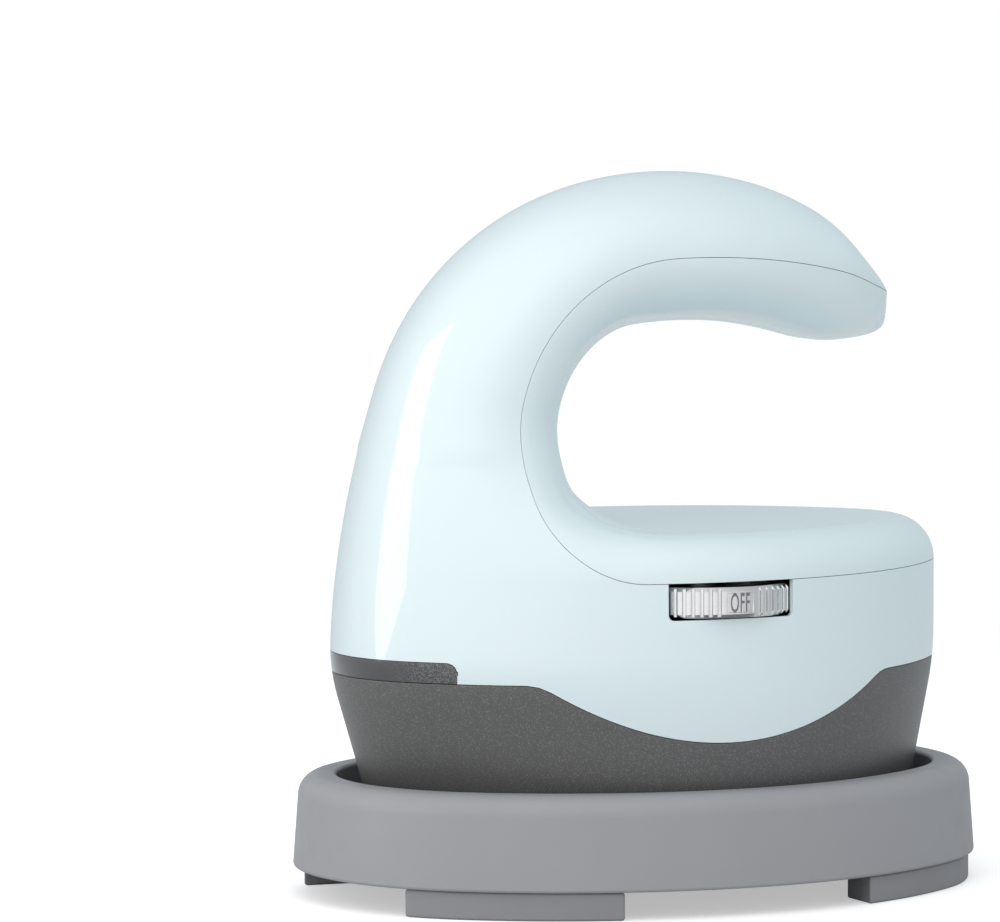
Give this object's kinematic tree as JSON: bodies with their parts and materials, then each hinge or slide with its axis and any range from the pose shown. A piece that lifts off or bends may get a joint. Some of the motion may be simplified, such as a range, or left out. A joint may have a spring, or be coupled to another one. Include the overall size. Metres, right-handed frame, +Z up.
{
  "type": "mini handheld heat press with rest stand",
  "caption": "Small C-handled heat press with an oval ceramic-faced plate, a ribbed heat dial and an indicator window, parked in its oval rest stand.",
  "frame": {"origin": "on the floor, under the middle of the rest stand", "axes": "+Z up; long axis along X, with the spine and the indicator window at -X, the open end of the handle and the cord entry at +X, and the heat dial on the -Y side"},
  "size_m": [0.1276, 0.0966, 0.1289],
  "materials": {
    "shell": "glossy pale ice-blue moulding",
    "skirt": "dark grey with a fine metallic sparkle",
    "window": "smoked translucent plastic",
    "dial": "satin chrome plating, ribbed",
    "stand": "mid-grey fine-textured heat-resistant plastic",
    "foot": "grey plastic",
    "pad": "silicone rubber",
    "plate": "cream ceramic coating on aluminium",
    "gasket": "black silicone",
    "steel": "zinc-plated steel",
    "shield": "sheet aluminium",
    "board": "green circuit board",
    "black": "black moulded plastic",
    "relay": "blue relay case",
    "capacitor": "sleeved capacitor",
    "led": "clear lens",
    "insulation": "fibre insulation",
    "element": "mica and resistance track",
    "brass": "brass shaft",
    "lead": "silicone-sleeved wire"
  },
  "bodies": {
    "stand": {"stand_tray": "stand", "stand_feet": "foot", "stand_rest_pads": "pad"},
    "press": {"outer_shell": "shell", "inner_cover": "shell", "heat_skirt": "skirt", "indicator_window": "window", "indicator_leds": "led", "led_board": "board", "control_board": "board", "relay": "relay", "capacitor": "capacitor", "terminal_block": "black", "tilt_switch": "black", "rotary_switch": "black", "heat_plate": "plate", "plate_gasket": "gasket", "heating_element": "element", "insulation_pad": "insulation", "heat_shield": "shield", "shield_spacers": "steel", "thermal_fuse": "steel", "thermistor": "black", "sensor_clips": "steel", "heater_leads": "lead", "plate_screws": "steel", "housing_screws": "steel", "board_screws": "steel", "cord_gland": "black", "cord_clamp": "black", "clamp_screws": "steel"},
    "dial": {"dial_wheel": "dial", "dial_spindle": "brass", "dial_screw": "steel"}
  },
  "joints": [
    {"name": "press_lift", "type": "slide", "parent": "stand", "child": "press", "axis": [0, 0, 1], "range_m": [0, 0.06]},
    {"name": "dial_turn", "type": "hinge", "parent": "press", "child": "dial", "pos_m": [0, -0.0242, 0.0544], "axis": [0, 0, 1], "range_deg": [0, 180]}
  ]
}
